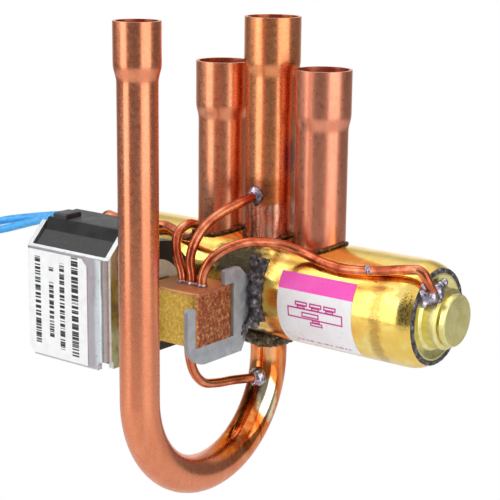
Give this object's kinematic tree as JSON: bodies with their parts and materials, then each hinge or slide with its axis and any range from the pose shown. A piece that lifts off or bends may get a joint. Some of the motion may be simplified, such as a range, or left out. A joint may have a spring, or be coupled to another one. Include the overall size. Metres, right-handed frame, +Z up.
{
  "type": "four way reversing valve",
  "caption": "Four way reversing valve of a heat pump: a brass cylinder with copper pipes on top, a U bent pipe in front, a pilot valve with copper capillaries and a solenoid coil.",
  "frame": {"origin": "centre of the suction pipe's mouth, the tallest of the three pipes in line, by which the valve is held", "axes": "+Z up, out of the suction pipe's mouth; +X along the main cylinder, away from the coil's end; +Y to the back, away from the pilot valve and the discharge pipe's front arm"},
  "size_m": [0.1306, 0.0783, 0.1193],
  "materials": {
    "copper": "drawn copper tube, satin, heat tinted near the brazed joints",
    "braze": "braze filler",
    "brass_tube": "drawn brass tube, bright",
    "brass": "turned brass",
    "weld": "dark rough weld",
    "solder": "silver solder, matt",
    "zinc": "zinc plated sheet, smooth",
    "steel": "machined steel",
    "stainless": "drawn stainless",
    "nylon": "filled nylon, dark",
    "ptfe": "filled sealing plastic, brown",
    "moulding": "black moulding compound",
    "bobbin": "natural plastic",
    "winding": "enamelled copper wire",
    "label": "printed label, white",
    "lead": "blue insulation",
    "tie": "natural nylon",
    "tinned": "tinned copper strands"
  },
  "bodies": {
    "valve": {"body_tube": "brass_tube", "end_cap_left": "brass", "end_cap_right": "brass", "end_weld_left": "weld", "end_weld_right": "weld", "pipe_d": "copper", "pipe_e": "copper", "pipe_s": "copper", "pipe_c": "copper", "braze_collar_d": "braze", "braze_saddle_e": "braze", "braze_saddle_s": "braze", "braze_saddle_c": "braze", "valve_seat": "brass", "pilot_body": "brass", "pilot_seat": "brass", "plunger_spring": "steel", "pilot_tube": "stainless", "fixed_core": "steel", "shading_ring": "copper", "capillary_d": "copper", "capillary_s": "copper", "capillary_left": "copper", "capillary_right": "copper", "pilot_solder": "solder", "hub_solder_left": "solder", "hub_solder_right": "solder", "s_tap_solder": "solder", "d_tap_solder": "solder", "pilot_bracket": "zinc", "bracket_weld": "weld", "coil_frame": "zinc", "coil_moulding": "moulding", "coil_bobbin": "bobbin", "coil_winding": "winding", "coil_washer": "zinc", "coil_screw": "zinc", "coil_label": "label", "body_label": "label", "lead_1": "lead", "lead_2": "lead", "lead_coil": "lead", "lead_tie": "tie", "lead_tip_1": "tinned", "lead_tip_2": "tinned"},
    "slide_assembly": {"main_slide": "nylon", "slide_frame": "steel", "piston_plate_right": "steel", "piston_plate_left": "steel", "piston_seal_right": "ptfe", "piston_seal_left": "ptfe", "seal_spring_right": "steel", "seal_spring_left": "steel", "piston_cover_right": "steel", "piston_cover_left": "steel", "piston_screws": "steel"},
    "plunger_assembly": {"plunger": "steel", "pilot_slide": "nylon", "slide_spring": "steel"}
  },
  "joints": [
    {"name": "main_slide_travel", "type": "slide", "parent": "valve", "child": "slide_assembly", "axis": [1, 0, 0], "range_m": [0, 0.0157]},
    {"name": "plunger_travel", "type": "slide", "parent": "valve", "child": "plunger_assembly", "axis": [-1, 0, 0], "range_m": [0, 0.0031], "stiffness_N_per_m": 250, "springref_m": -0.004, "deforming": ["plunger_spring"]}
  ]
}
